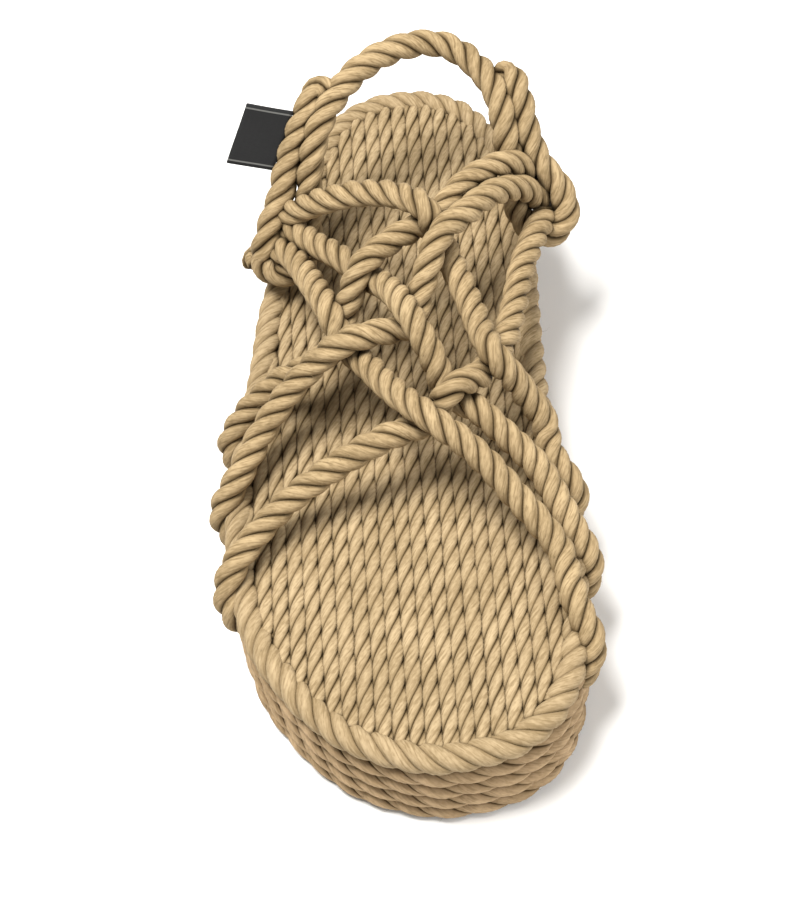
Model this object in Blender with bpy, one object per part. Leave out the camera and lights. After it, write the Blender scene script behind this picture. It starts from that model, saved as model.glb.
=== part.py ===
"""Rope sandal for the right foot: a flat rope platform, a woven rope vamp and a rope heel strap.

Metres, +Z up. The toe points to -Y, the inner side of the foot is +X, and the sole stands on z = 0.
"""

import math

import bmesh
import bpy
from mathutils import Vector

# Sole sizes
SOLE_LENGTH = 0.269
BALL_WIDTH = 0.1105
TOE_SHARE = 0.435
COURSE_COUNT = 5
COURSE_HEIGHT = 0.0068
COURSE_WIDTH = 0.0092
RIM_HEIGHT = 0.0092
RIM_STAND = 0.0014
RIB_PITCH = 0.0048
RIB_DEPTH = 0.0015

# Strap sizes
STRAP_D = 0.009
STRAP_RISE = 0.045
HEEL_ROPE_D = 0.0092
HEEL_RISE = 0.052
WRAP_BULGE = 0.0006

# Woven tag sizes
TAG_REACH = 0.0145
TAG_LENGTH = 0.0205
TAG_THICKNESS = 0.001

# Clearance between neighbouring pieces
GAP = 0.0003

# How finely the round shapes are divided
OUTLINE_POINTS = 56
ROPE_SIDES = 8

# Heights that follow from the sizes above
COURSE_STEP = COURSE_HEIGHT + GAP
RIM_BOTTOM = (COURSE_COUNT - 1) * COURSE_STEP
RIM_TOP = RIM_BOTTOM + RIM_HEIGHT
FOOTBED_TOP = RIM_TOP - RIM_STAND
STRAP_R = STRAP_D / 2
HEEL_ROPE_R = HEEL_ROPE_D / 2

# Edge of the sole from toe to heel: share of the length, then inner and outer shares of half the ball width
SOLE_EDGES = (
    (0.003, 0.440, -0.150),
    (0.028, 0.655, -0.420),
    (0.060, 0.787, -0.600),
    (0.098, 0.872, -0.750),
    (0.165, 0.940, -0.935),
    (0.255, 0.960, -1.030),
    (0.345, 0.925, -1.040),
    (0.445, 0.880, -0.985),
    (0.555, 0.870, -0.880),
    (0.665, 0.890, -0.790),
    (0.775, 0.905, -0.635),
    (0.865, 0.850, -0.510),
    (0.935, 0.705, -0.380),
    (0.975, 0.545, -0.225),
    (0.995, 0.345, -0.020),
)
TOE_TIP = (-0.007, 0.095)
HEEL_TIP = (1.000, 0.140)

# How far each course sits in from the rim, from the ground up, as a share of the course width
COURSE_INSETS = (0.06, 0.03, 0.02, 0.02, 0.0)

# Free run of each vamp rope from the sole's edge to its eye. The columns are the share of half the ball
# width, the share of the sole length, the share of the strap rise over the rim, and the lift in ropes,
# which is positive where the rope crosses over and negative where it crosses under.
OUTER_ROPES = {
    "outer_front": (
        (-0.69, 0.320, 0.22, 0.0),
        (-0.38, 0.350, 0.38, 0.0),
        (-0.09, 0.368, 0.51, 0.0),
        (0.14, 0.383, 0.63, -0.50),
        (0.31, 0.400, 0.64, 0.50),
        (0.49, 0.438, 0.69, -0.45),
        (0.63, 0.491, 0.54, 0.0),
        (0.70, 0.539, 0.51, 0.0),
        (0.77, 0.600, 0.47, 0.0),
        (0.87, 0.658, 0.43, 0.0),
        (0.95, 0.700, 0.33, 0.0),
        (0.98, 0.725, 0.18, 0.0),
    ),
    "outer_middle": (
        (-0.72, 0.439, 0.31, 0.0),
        (-0.49, 0.472, 0.53, 0.0),
        (-0.27, 0.483, 0.63, 0.45),
        (-0.05, 0.494, 0.72, 0.0),
        (0.11, 0.506, 0.78, -0.50),
        (0.20, 0.543, 0.84, 0.0),
        (0.31, 0.587, 0.91, 0.45),
        (0.47, 0.625, 0.97, 0.0),
        (0.66, 0.669, 0.87, 0.0),
        (0.84, 0.704, 0.64, 0.0),
        (0.93, 0.721, 0.40, 0.0),
        (0.99, 0.743, 0.22, 0.0),
    ),
    "outer_rear": (
        (-0.69, 0.491, 0.27, 0.0),
        (-0.51, 0.498, 0.37, 0.0),
        (-0.34, 0.522, 0.49, -0.50),
        (-0.25, 0.550, 0.58, 0.0),
        (-0.15, 0.574, 0.73, 0.50),
        (-0.02, 0.598, 0.87, 0.0),
        (0.14, 0.617, 0.89, 0.0),
        (0.29, 0.636, 0.94, -0.50),
        (0.40, 0.658, 0.91, 0.0),
        (0.54, 0.688, 0.91, 0.0),
        (0.73, 0.717, 0.84, 0.0),
        (0.85, 0.732, 0.69, 0.0),
        (0.91, 0.740, 0.52, 0.0),
        (0.95, 0.747, 0.36, 0.0),
    ),
}
INNER_ROPES = {
    "inner_front": (
        (0.80, 0.238, 0.18, 0.0),
        (0.62, 0.283, 0.36, 0.0),
        (0.42, 0.327, 0.56, 0.0),
        (0.16, 0.368, 0.62, 0.50),
        (-0.02, 0.416, 0.66, 0.0),
        (-0.14, 0.461, 0.58, 0.0),
        (-0.27, 0.506, 0.62, -0.45),
        (-0.36, 0.550, 0.54, 0.45),
        (-0.49, 0.632, 0.47, 0.0),
        (-0.60, 0.680, 0.37, 0.0),
        (-0.69, 0.695, 0.22, 0.0),
        (-0.79, 0.702, 0.17, 0.0),
        (-0.83, 0.690, 0.15, 0.0),
    ),
    "inner_middle": (
        (0.74, 0.338, 0.27, 0.0),
        (0.58, 0.368, 0.42, 0.0),
        (0.43, 0.394, 0.54, 0.0),
        (0.29, 0.420, 0.64, -0.50),
        (0.20, 0.454, 0.78, 0.0),
        (0.11, 0.494, 0.78, 0.50),
        (0.00, 0.550, 0.78, 0.0),
        (-0.13, 0.595, 0.71, -0.50),
        (-0.27, 0.632, 0.58, 0.0),
        (-0.42, 0.669, 0.50, 0.0),
        (-0.55, 0.706, 0.42, 0.0),
        (-0.65, 0.717, 0.28, 0.0),
        (-0.75, 0.714, 0.18, 0.0),
    ),
    "inner_rear": (
        (0.81, 0.406, 0.22, 0.0),
        (0.70, 0.425, 0.46, 0.0),
        (0.56, 0.438, 0.68, 0.45),
        (0.49, 0.483, 0.75, 0.0),
        (0.43, 0.539, 0.75, 0.0),
        (0.34, 0.599, 0.89, -0.50),
        (0.25, 0.625, 0.95, 0.50),
        (0.13, 0.654, 1.01, 0.0),
        (-0.09, 0.680, 0.91, 0.0),
        (-0.31, 0.695, 0.78, 0.0),
        (-0.50, 0.710, 0.59, 0.0),
        (-0.61, 0.725, 0.42, 0.0),
        (-0.69, 0.736, 0.30, 0.0),
    ),
}

# Share of the sole length where each vamp rope comes onto the rim, turns over the edge and tucks into the side
WRAPS = {
    "outer_front": (0.269, 0.242, 0.227),
    "outer_middle": (0.380, 0.358, 0.348),
    "outer_rear": (0.475, 0.457, 0.448),
    "inner_front": (0.175, 0.138, 0.121),
    "inner_middle": (0.289, 0.249, 0.232),
    "inner_rear": (0.378, 0.344, 0.333),
}

# Heel strap and the two legs that come back up from its eyes. The columns are the share of half the ball
# width, the share of the sole length, and the share of the heel rise over the rim.
HEEL_RUN = (
    (-0.64, 0.672, 0.15),
    (-0.53, 0.680, 0.16),
    (-0.46, 0.702, 0.26),
    (-0.44, 0.724, 0.42),
    (-0.41, 0.747, 0.62),
    (-0.36, 0.764, 0.81),
    (-0.28, 0.788, 0.94),
    (-0.14, 0.822, 1.01),
    (0.02, 0.849, 1.04),
    (0.22, 0.868, 1.04),
    (0.40, 0.871, 1.02),
    (0.54, 0.858, 0.99),
    (0.65, 0.829, 0.97),
    (0.72, 0.799, 0.95),
    (0.75, 0.770, 0.88),
    (0.76, 0.750, 0.75),
    (0.78, 0.736, 0.57),
    (0.79, 0.721, 0.41),
    (0.81, 0.704, 0.29),
    (0.89, 0.687, 0.23),
)
OUTER_LEG = (
    (-0.21, 0.812, 0.97),
    (-0.32, 0.818, 0.99),
    (-0.38, 0.799, 0.93),
    (-0.44, 0.784, 0.84),
    (-0.50, 0.769, 0.73),
    (-0.55, 0.754, 0.63),
    (-0.59, 0.736, 0.53),
    (-0.65, 0.717, 0.44),
    (-0.71, 0.695, 0.33),
    (-0.74, 0.688, 0.24),
    (-0.71, 0.675, 0.17),
    (-0.64, 0.672, 0.15),
)
INNER_LEG = (
    (0.73, 0.818, 0.96),
    (0.82, 0.816, 0.97),
    (0.86, 0.788, 0.92),
    (0.88, 0.765, 0.80),
    (0.91, 0.750, 0.68),
    (0.96, 0.734, 0.57),
    (1.03, 0.724, 0.48),
    (1.08, 0.709, 0.37),
    (1.07, 0.695, 0.29),
    (1.00, 0.684, 0.23),
    (0.89, 0.687, 0.23),
)

# Middle of the tag's sewn edge, as a share of the run of the outer leg
TAG_PLACE = 0.34


def clear_scene():
    for thing in list(bpy.data.objects):
        bpy.data.objects.remove(thing)


def material(name, colour, roughness):
    made = bpy.data.materials.new(name)
    made.use_nodes = True
    shader = made.node_tree.nodes["Principled BSDF"]
    shader.inputs["Base Color"].default_value = (*colour, 1.0)
    shader.inputs["Roughness"].default_value = roughness
    shader.inputs["Metallic"].default_value = 0.0
    return made


def mesh_object(name, shape, surface=None):
    """Turn a bmesh into a named object with outward faces, shaded smooth over gentle edges."""
    bmesh.ops.recalc_face_normals(shape, faces=shape.faces)
    mesh = bpy.data.meshes.new(name)
    shape.to_mesh(mesh)
    shape.free()
    mesh.shade_smooth()
    mesh.set_sharp_from_angle(angle=math.radians(50))
    thing = bpy.data.objects.new(name, mesh)
    bpy.context.collection.objects.link(thing)
    if surface:
        mesh.materials.append(surface)
    return thing


def as_cutter(thing):
    thing.hide_render = True
    thing.display_type = "WIRE"
    return thing


def combine(thing, other, operation):
    step = thing.modifiers.new(f"{operation.lower()} {other.name}", "BOOLEAN")
    step.operation = operation
    step.solver = "EXACT"
    step.use_self = operation == "UNION"
    step.object = other


def along_y(share):
    return (share - TOE_SHARE) * SOLE_LENGTH


def across_x(share):
    return share * BALL_WIDTH / 2


def curve_through(points, count, closed=False):
    """Points spaced evenly on a Catmull-Rom curve through the given ones."""
    fine = 12
    total = len(points)
    if closed:
        ring = [points[-1], *points, points[0], points[1]]
    else:
        ring = [2 * points[0] - points[1], *points, 2 * points[-1] - points[-2]]
    spans = total if closed else total - 1
    dense = []
    for i in range(spans):
        a, b, c, d = ring[i:i + 4]
        for j in range(fine):
            t = j / fine
            spot = 2 * b + (c - a) * t
            spot = spot + (2 * a - 5 * b + 4 * c - d) * t * t
            spot = spot + (3 * b - a - 3 * c + d) * t ** 3
            dense.append(spot / 2)
    dense.append(points[0] if closed else points[-1])
    lengths = [0.0]
    for first, second in zip(dense, dense[1:]):
        lengths.append(lengths[-1] + (second - first).length)
    steps = count if closed else count - 1
    even = []
    k = 0
    for i in range(count):
        goal = lengths[-1] * i / steps
        while k < len(dense) - 2 and lengths[k + 1] < goal:
            k += 1
        share = (goal - lengths[k]) / (lengths[k + 1] - lengths[k])
        even.append(dense[k].lerp(dense[k + 1], share))
    return even


def sole_outline():
    """Outer edge of the rim, counter-clockwise from the toe, at z = 0."""
    toe = Vector((across_x(TOE_TIP[1]), along_y(TOE_TIP[0]), 0))
    heel = Vector((across_x(HEEL_TIP[1]), along_y(HEEL_TIP[0]), 0))
    inner = [Vector((across_x(inside), along_y(share), 0)) for share, inside, _ in SOLE_EDGES]
    outer = [Vector((across_x(outside), along_y(share), 0)) for share, _, outside in SOLE_EDGES]
    return curve_through([toe, *inner, heel, *reversed(outer)], OUTLINE_POINTS * 4, closed=True)


OUTLINE = sole_outline()


def outline_inset(depth, count=OUTLINE_POINTS):
    """The outline moved inward by a depth, with fewer points."""
    total = len(OUTLINE)
    moved = []
    for i in range(0, total, total // count):
        run = OUTLINE[(i + 2) % total] - OUTLINE[i - 2]
        inward = Vector((-run.y, run.x, 0)).normalized()
        moved.append(OUTLINE[i] + inward * depth)
    return moved


def edge_x(y, side):
    """X of the sole's edge at a place along it, on the inner (+1) or outer (-1) side."""
    best = 0.0
    total = len(OUTLINE)
    for i in range(total):
        a = OUTLINE[i - 1]
        b = OUTLINE[i]
        if (a.y - y) * (b.y - y) > 0 or a.y == b.y:
            continue
        x = a.x + (b.x - a.x) * (y - a.y) / (b.y - a.y)
        if (x - best) * side > 0:
            best = x
    return best


def course_section(width, height):
    """Eight-sided section of a squeezed rope with flat top, bottom and sides, as (outward, up) pairs."""
    slope = math.tan(math.radians(22.5))
    pairs = ((1, -slope), (1, slope), (slope, 1), (-slope, 1), (-1, slope), (-1, -slope), (-slope, -1), (slope, -1))
    return [(a * width / 2, b * height / 2) for a, b in pairs]


def course(name, inset, bottom, height, surface):
    """One rope course, a closed ring round the sole."""
    middle = outline_inset(inset + COURSE_WIDTH / 2)
    total = len(middle)
    section = course_section(COURSE_WIDTH, height)
    shape = bmesh.new()
    rings = []
    for i in range(total):
        run = middle[(i + 1) % total] - middle[i - 1]
        outward = Vector((run.y, -run.x, 0)).normalized()
        lift = Vector((0, 0, bottom + height / 2))
        rings.append([shape.verts.new(middle[i] + outward * a + lift + Vector((0, 0, b))) for a, b in section])
    for i in range(total):
        here = rings[i]
        after = rings[(i + 1) % total]
        for j in range(len(section)):
            k = (j + 1) % len(section)
            shape.faces.new((here[j], here[k], after[k], after[j]))
    return mesh_object(name, shape, surface)


def prism(name, outline, bottom, top, surface=None):
    shape = bmesh.new()
    low = [shape.verts.new((p.x, p.y, bottom)) for p in outline]
    high = [shape.verts.new((p.x, p.y, top)) for p in outline]
    shape.faces.new(list(reversed(low)))
    shape.faces.new(high)
    for i in range(len(low)):
        j = (i + 1) % len(low)
        shape.faces.new((low[i], low[j], high[j], high[i]))
    return mesh_object(name, shape, surface)


def footbed(surface):
    """Slab of rope runs laid lengthwise side by side, cut to the outline inside the rim."""
    rib_shape = ((0.0, 0.0), (0.22, 0.75), (0.5, 1.0), (0.78, 0.75))
    half_ribs = math.ceil(BALL_WIDTH * 0.6 / RIB_PITCH)
    top = []
    for i in range(-half_ribs, half_ribs):
        for step, height in rib_shape:
            top.append(((i + step) * RIB_PITCH, FOOTBED_TOP - RIB_DEPTH * (1 - height)))
    left = top[0][0]
    right = half_ribs * RIB_PITCH
    profile = [(left, RIM_BOTTOM), (right, RIM_BOTTOM), (right, FOOTBED_TOP - RIB_DEPTH), *reversed(top)]
    toe_end = along_y(-0.05)
    heel_end = along_y(1.05)
    shape = bmesh.new()
    front = [shape.verts.new((x, toe_end, z)) for x, z in profile]
    back = [shape.verts.new((x, heel_end, z)) for x, z in profile]
    shape.faces.new(front)
    shape.faces.new(list(reversed(back)))
    for i in range(len(front)):
        j = (i + 1) % len(front)
        shape.faces.new((front[i], back[i], back[j], front[j]))
    bed = mesh_object("footbed", shape, surface)
    inside = outline_inset(COURSE_WIDTH + GAP)
    punch = as_cutter(prism("footbed_outline", inside, RIM_BOTTOM - RIM_HEIGHT, RIM_TOP + RIM_HEIGHT))
    combine(bed, punch, "INTERSECT")
    return bed


def rope(name, path, radius, surface=None):
    """Round rope along a path, with flat ends."""
    shape = bmesh.new()
    total = len(path)
    normal = None
    rings = []
    for i in range(total):
        run = (path[min(i + 1, total - 1)] - path[max(i - 1, 0)]).normalized()
        if normal is None:
            guide = Vector((0, 1, 0)) if abs(run.y) < 0.8 else Vector((1, 0, 0))
            normal = guide
        normal = (normal - run * normal.dot(run)).normalized()
        side = run.cross(normal)
        ring = []
        for j in range(ROPE_SIDES):
            turn = 2 * math.pi * (j + 0.5) / ROPE_SIDES
            ring.append(shape.verts.new(path[i] + (normal * math.cos(turn) + side * math.sin(turn)) * radius))
        rings.append(ring)
    for here, after in zip(rings, rings[1:]):
        for j in range(ROPE_SIDES):
            k = (j + 1) % ROPE_SIDES
            shape.faces.new((here[j], here[k], after[k], after[j]))
    shape.faces.new(list(reversed(rings[0])))
    shape.faces.new(rings[-1])
    return mesh_object(name, shape, surface)


def wrap(name, side):
    """Where a vamp rope turns over the rim and tucks into the side, from its buried end up."""
    onto, over, under = (along_y(share) for share in WRAPS[name])
    stops = (
        (under - STRAP_R * 0.3, -STRAP_R * 0.9, RIM_TOP - STRAP_D * 1.75),
        (under, -WRAP_BULGE, RIM_TOP - STRAP_D * 1.15),
        (over, WRAP_BULGE, RIM_TOP - STRAP_D * 0.35),
        (onto, -STRAP_R * 1.05, RIM_TOP + STRAP_R),
    )
    return [Vector((edge_x(at, side) + side * out, at, height)) for at, out, height in stops]


def vamp_path(name, rows, side):
    free = []
    for across, share, rise, lift in rows:
        height = RIM_TOP + rise * STRAP_RISE + lift * STRAP_D
        free.append(Vector((across_x(across), along_y(share), height)))
    return curve_through(wrap(name, side) + free, 36)


def heel_path(rows, count):
    points = []
    for across, share, rise in rows:
        points.append(Vector((across_x(across), along_y(share), RIM_TOP + rise * HEEL_RISE)))
    return curve_through(points, count)


def vamp_paths():
    paths = {}
    for name, rows in OUTER_ROPES.items():
        paths[name] = vamp_path(name, rows, -1)
    for name, rows in INNER_ROPES.items():
        paths[name] = vamp_path(name, rows, 1)
    return paths


def vamp(paths, surface):
    """The six vamp ropes, joined where they cross."""
    ropes = [rope(name, path, STRAP_R) for name, path in paths.items()]
    whole = ropes[0]
    whole.name = "vamp_straps"
    whole.data.materials.append(surface)
    for other in ropes[1:]:
        combine(whole, as_cutter(other), "UNION")
    return whole


def heel_strap(surface, clearances):
    """Heel rope with the returning leg of each eye, notched where the vamp ropes press on it."""
    strap = rope("heel_strap", heel_path(HEEL_RUN, 40), HEEL_ROPE_R, surface)
    combine(strap, as_cutter(rope("outer_leg", heel_path(OUTER_LEG, 22), HEEL_ROPE_R)), "UNION")
    combine(strap, as_cutter(rope("inner_leg", heel_path(INNER_LEG, 22), HEEL_ROPE_R)), "UNION")
    for clearance in clearances:
        combine(strap, clearance, "DIFFERENCE")
    return strap


def tag(surface):
    """Folded woven tag sewn to the outer leg of the outer eye."""
    leg = heel_path(OUTER_LEG, 45)
    middle = leg[round(TAG_PLACE * 44)]
    run = (leg[round(TAG_PLACE * 44) + 2] - leg[round(TAG_PLACE * 44) - 2]).normalized()
    outward = Vector((-1, 0.12, 0))
    outward = (outward - run * outward.dot(run) * 0.5).normalized()
    thick = run.cross(outward).normalized() * TAG_THICKNESS / 2
    near = middle + outward * HEEL_ROPE_R * 0.8
    far = near + outward * (TAG_REACH + HEEL_ROPE_R * 0.2)
    half = run * TAG_LENGTH / 2
    corners = (near - half, far - half, far + half, near + half)
    shape = bmesh.new()
    low = [shape.verts.new(p - thick) for p in corners]
    high = [shape.verts.new(p + thick) for p in corners]
    shape.faces.new(list(reversed(low)))
    shape.faces.new(high)
    for i in range(4):
        j = (i + 1) % 4
        shape.faces.new((low[i], low[j], high[j], high[i]))
    label = mesh_object("woven_tag", shape, surface)
    seat = rope("tag_seat", heel_path(OUTER_LEG, 22), HEEL_ROPE_R + GAP)
    combine(label, as_cutter(seat), "DIFFERENCE")
    return label


def build():
    clear_scene()
    sole_rope = material("sole rope", (0.55, 0.41, 0.24), 0.75)
    strap_rope = material("strap rope", (0.60, 0.45, 0.27), 0.72)
    core_rope = material("core rope", (0.50, 0.37, 0.22), 0.8)
    tag_cloth = material("tag cloth", (0.02, 0.02, 0.022), 0.85)

    paths = vamp_paths()
    clearances = []
    for name, path in paths.items():
        clearances.append(as_cutter(rope(name + "_clearance", path, STRAP_R + GAP)))

    core_inset = COURSE_WIDTH * (1 + max(COURSE_INSETS)) + GAP
    prism("sole_core", outline_inset(core_inset), 0.0, RIM_BOTTOM - GAP, core_rope)
    for i in range(COURSE_COUNT):
        inset = COURSE_INSETS[min(i, len(COURSE_INSETS) - 1)] * COURSE_WIDTH
        is_rim = i == COURSE_COUNT - 1
        height = RIM_HEIGHT if is_rim else COURSE_HEIGHT
        ring = course(f"sole_course_{i + 1}", inset, i * COURSE_STEP, height, sole_rope)
        wrapped_depth = STRAP_D * 2.4
        if (i + 1) * COURSE_STEP > RIM_TOP - wrapped_depth:
            for clearance in clearances:
                combine(ring, clearance, "DIFFERENCE")
    footbed(sole_rope)
    vamp(paths, strap_rope)
    heel_strap(strap_rope, clearances)
    tag(tag_cloth)


build()
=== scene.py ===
"""Finished looks of the rope sandal: laid ropes, a woven tag, a pale floor and soft light.

Metres, +Z up. The toe points to -Y, the inner side of the foot is +X, and the sole stands on z = 0.
"""

import math

import bpy
import numpy as np
from mathutils import Matrix, Vector


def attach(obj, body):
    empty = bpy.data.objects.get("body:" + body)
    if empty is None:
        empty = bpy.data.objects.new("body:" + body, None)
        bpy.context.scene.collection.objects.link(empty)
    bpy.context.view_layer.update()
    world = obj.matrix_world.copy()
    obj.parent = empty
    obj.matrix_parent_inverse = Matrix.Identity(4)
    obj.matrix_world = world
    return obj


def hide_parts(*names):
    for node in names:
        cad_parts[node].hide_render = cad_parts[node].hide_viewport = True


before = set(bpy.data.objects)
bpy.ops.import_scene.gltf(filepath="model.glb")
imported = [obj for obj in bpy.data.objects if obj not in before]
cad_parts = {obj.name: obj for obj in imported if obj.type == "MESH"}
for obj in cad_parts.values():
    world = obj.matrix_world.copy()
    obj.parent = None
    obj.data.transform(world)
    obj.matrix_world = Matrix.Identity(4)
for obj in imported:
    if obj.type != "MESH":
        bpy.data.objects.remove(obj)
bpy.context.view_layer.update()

# Sole sizes, as in the solids
SOLE_LENGTH = 0.269
BALL_WIDTH = 0.1105
TOE_SHARE = 0.435
COURSE_COUNT = 5
COURSE_HEIGHT = 0.0068
COURSE_WIDTH = 0.0092
COURSE_STEP = 0.0071
RIM_BOTTOM = 0.0284
RIM_TOP = 0.0376
FOOTBED_TOP = 0.0362
RIB_PITCH = 0.0048

# Inset of each course from the sole's outline, from the lowest to the rim, in shares of a course's width
COURSE_INSETS = (0.06, 0.03, 0.02, 0.02, 0.0)

# Strap sizes, as in the solids
STRAP_D = 0.009
STRAP_R = STRAP_D / 2
STRAP_RISE = 0.045
HEEL_ROPE_D = 0.0092
HEEL_RISE = 0.052
WRAP_BULGE = 0.0006

# Tag sizes, as in the solids
TAG_REACH = 0.0145
TAG_LENGTH = 0.0205
TAG_PLACE = 0.34

# The tag's cloth: its two stripes, half the depth of its fold, its thickness, and its sway, with how fast the
# sway changes outward and along the rope
TAG_STRIPE_INSET = 0.0013
TAG_STRIPE_WIDTH = 0.0005
TAG_FOLD = 0.0006
TAG_THICKNESS = 0.00035
TAG_SWAY = 0.0007
TAG_SWAY_OUTWARD = 160
TAG_SWAY_ALONG = 5

# Where the tag's ends are sewn, in rope diameters from the rope's middle, the way the tag stands out, and the
# share of its slant along the rope that is taken off
TAG_SEAM = 0.4
TAG_OUTWARD = (-1.0, 0.12, 0.0)
TAG_SQUARING = 0.5

# Steps of the tag's mesh along the rope, out from it and round the fold, and of the leg that it is sewn to
TAG_ROWS = 16
TAG_COLUMNS = 12
TAG_FOLD_STEPS = 8
TAG_LEG_STEPS = 44

# Edge of the sole from toe to heel: share of the length, then inner and outer shares of half the ball width
SOLE_EDGES = (
    (0.003, 0.440, -0.150),
    (0.028, 0.655, -0.420),
    (0.060, 0.787, -0.600),
    (0.098, 0.872, -0.750),
    (0.165, 0.940, -0.935),
    (0.255, 0.960, -1.030),
    (0.345, 0.925, -1.040),
    (0.445, 0.880, -0.985),
    (0.555, 0.870, -0.880),
    (0.665, 0.890, -0.790),
    (0.775, 0.905, -0.635),
    (0.865, 0.850, -0.510),
    (0.935, 0.705, -0.380),
    (0.975, 0.545, -0.225),
    (0.995, 0.345, -0.020),
)
TOE_TIP = (-0.007, 0.095)
HEEL_TIP = (1.000, 0.140)

# Free run of each vamp rope, with the columns of the solids: share of half the ball width, share of the sole
# length, share of the strap rise over the rim, and lift in ropes where two ropes cross
OUTER_ROPES = {
    "outer_front": (
        (-0.69, 0.320, 0.22, 0.0),
        (-0.38, 0.350, 0.38, 0.0),
        (-0.09, 0.368, 0.51, 0.0),
        (0.14, 0.383, 0.63, -0.50),
        (0.31, 0.400, 0.64, 0.50),
        (0.49, 0.438, 0.69, -0.45),
        (0.63, 0.491, 0.54, 0.0),
        (0.70, 0.539, 0.51, 0.0),
        (0.77, 0.600, 0.47, 0.0),
        (0.87, 0.658, 0.43, 0.0),
        (0.95, 0.700, 0.33, 0.0),
        (0.98, 0.725, 0.18, 0.0),
    ),
    "outer_middle": (
        (-0.72, 0.439, 0.31, 0.0),
        (-0.49, 0.472, 0.53, 0.0),
        (-0.27, 0.483, 0.63, 0.45),
        (-0.05, 0.494, 0.72, 0.0),
        (0.11, 0.506, 0.78, -0.50),
        (0.20, 0.543, 0.84, 0.0),
        (0.31, 0.587, 0.91, 0.45),
        (0.47, 0.625, 0.97, 0.0),
        (0.66, 0.669, 0.87, 0.0),
        (0.84, 0.704, 0.64, 0.0),
        (0.93, 0.721, 0.40, 0.0),
        (0.99, 0.743, 0.22, 0.0),
    ),
    "outer_rear": (
        (-0.69, 0.491, 0.27, 0.0),
        (-0.51, 0.498, 0.37, 0.0),
        (-0.34, 0.522, 0.49, -0.50),
        (-0.25, 0.550, 0.58, 0.0),
        (-0.15, 0.574, 0.73, 0.50),
        (-0.02, 0.598, 0.87, 0.0),
        (0.14, 0.617, 0.89, 0.0),
        (0.29, 0.636, 0.94, -0.50),
        (0.40, 0.658, 0.91, 0.0),
        (0.54, 0.688, 0.91, 0.0),
        (0.73, 0.717, 0.84, 0.0),
        (0.85, 0.732, 0.69, 0.0),
        (0.91, 0.740, 0.52, 0.0),
        (0.95, 0.747, 0.36, 0.0),
    ),
}
INNER_ROPES = {
    "inner_front": (
        (0.80, 0.238, 0.18, 0.0),
        (0.62, 0.283, 0.36, 0.0),
        (0.42, 0.327, 0.56, 0.0),
        (0.16, 0.368, 0.62, 0.50),
        (-0.02, 0.416, 0.66, 0.0),
        (-0.14, 0.461, 0.58, 0.0),
        (-0.27, 0.506, 0.62, -0.45),
        (-0.36, 0.550, 0.54, 0.45),
        (-0.49, 0.632, 0.47, 0.0),
        (-0.60, 0.680, 0.37, 0.0),
        (-0.69, 0.695, 0.22, 0.0),
        (-0.79, 0.702, 0.17, 0.0),
        (-0.83, 0.690, 0.15, 0.0),
    ),
    "inner_middle": (
        (0.74, 0.338, 0.27, 0.0),
        (0.58, 0.368, 0.42, 0.0),
        (0.43, 0.394, 0.54, 0.0),
        (0.29, 0.420, 0.64, -0.50),
        (0.20, 0.454, 0.78, 0.0),
        (0.11, 0.494, 0.78, 0.50),
        (0.00, 0.550, 0.78, 0.0),
        (-0.13, 0.595, 0.71, -0.50),
        (-0.27, 0.632, 0.58, 0.0),
        (-0.42, 0.669, 0.50, 0.0),
        (-0.55, 0.706, 0.42, 0.0),
        (-0.65, 0.717, 0.28, 0.0),
        (-0.75, 0.714, 0.18, 0.0),
    ),
    "inner_rear": (
        (0.81, 0.406, 0.22, 0.0),
        (0.70, 0.425, 0.46, 0.0),
        (0.56, 0.438, 0.68, 0.45),
        (0.49, 0.483, 0.75, 0.0),
        (0.43, 0.539, 0.75, 0.0),
        (0.34, 0.599, 0.89, -0.50),
        (0.25, 0.625, 0.95, 0.50),
        (0.13, 0.654, 1.01, 0.0),
        (-0.09, 0.680, 0.91, 0.0),
        (-0.31, 0.695, 0.78, 0.0),
        (-0.50, 0.710, 0.59, 0.0),
        (-0.61, 0.725, 0.42, 0.0),
        (-0.69, 0.736, 0.30, 0.0),
    ),
}

# Share of the sole length where each vamp rope comes onto the rim, turns over its edge and goes into the side
WRAPS = {
    "outer_front": (0.269, 0.242, 0.227),
    "outer_middle": (0.380, 0.358, 0.348),
    "outer_rear": (0.475, 0.457, 0.448),
    "inner_front": (0.175, 0.138, 0.121),
    "inner_middle": (0.289, 0.249, 0.232),
    "inner_rear": (0.378, 0.344, 0.333),
}

# Heel strap and the two legs that come back up from its eyes: share of half the ball width, share of the sole
# length, and share of the heel rise over the rim
HEEL_RUN = (
    (-0.64, 0.672, 0.15),
    (-0.53, 0.680, 0.16),
    (-0.46, 0.702, 0.26),
    (-0.44, 0.724, 0.42),
    (-0.41, 0.747, 0.62),
    (-0.36, 0.764, 0.81),
    (-0.28, 0.788, 0.94),
    (-0.14, 0.822, 1.01),
    (0.02, 0.849, 1.04),
    (0.22, 0.868, 1.04),
    (0.40, 0.871, 1.02),
    (0.54, 0.858, 0.99),
    (0.65, 0.829, 0.97),
    (0.72, 0.799, 0.95),
    (0.75, 0.770, 0.88),
    (0.76, 0.750, 0.75),
    (0.78, 0.736, 0.57),
    (0.79, 0.721, 0.41),
    (0.81, 0.704, 0.29),
    (0.89, 0.687, 0.23),
)
OUTER_LEG = (
    (-0.21, 0.812, 0.97),
    (-0.32, 0.818, 0.99),
    (-0.38, 0.799, 0.93),
    (-0.44, 0.784, 0.84),
    (-0.50, 0.769, 0.73),
    (-0.55, 0.754, 0.63),
    (-0.59, 0.736, 0.53),
    (-0.65, 0.717, 0.44),
    (-0.71, 0.695, 0.33),
    (-0.74, 0.688, 0.24),
    (-0.71, 0.675, 0.17),
    (-0.64, 0.672, 0.15),
)
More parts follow.
